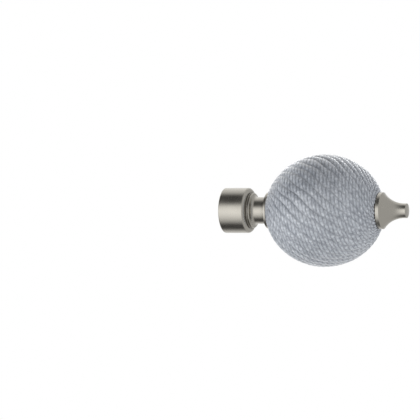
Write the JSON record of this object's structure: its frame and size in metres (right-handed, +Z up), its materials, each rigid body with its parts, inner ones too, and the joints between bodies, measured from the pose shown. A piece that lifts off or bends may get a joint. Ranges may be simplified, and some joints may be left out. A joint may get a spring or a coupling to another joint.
{
  "type": "curtain pole finial",
  "caption": "Curtain pole finial: a stepped metal collar with a pole socket, a beaded neck, a cord-wound ball and a flared metal tip.",
  "frame": {"origin": "centre of the floor of the collar's bore, where the end of the pole stops", "axes": "+X along the pole's axis, out of the pole towards the tip; +Z up; +Y towards the grub screw"},
  "size_m": [0.1406, 0.083, 0.083],
  "materials": {
    "nickel": "satin nickel plate",
    "cord": "twisted grey-blue cord with a slight sheen",
    "core_wood": "plain turned beech",
    "zinc_steel": "bright zinc plate"
  },
  "bodies": {
    "root": {"collar": "nickel", "grub_screw": "zinc_steel", "threaded_rod": "zinc_steel", "ball_core": "core_wood", "cord_winding": "cord", "tip": "nickel"}
  },
  "joints": []
}
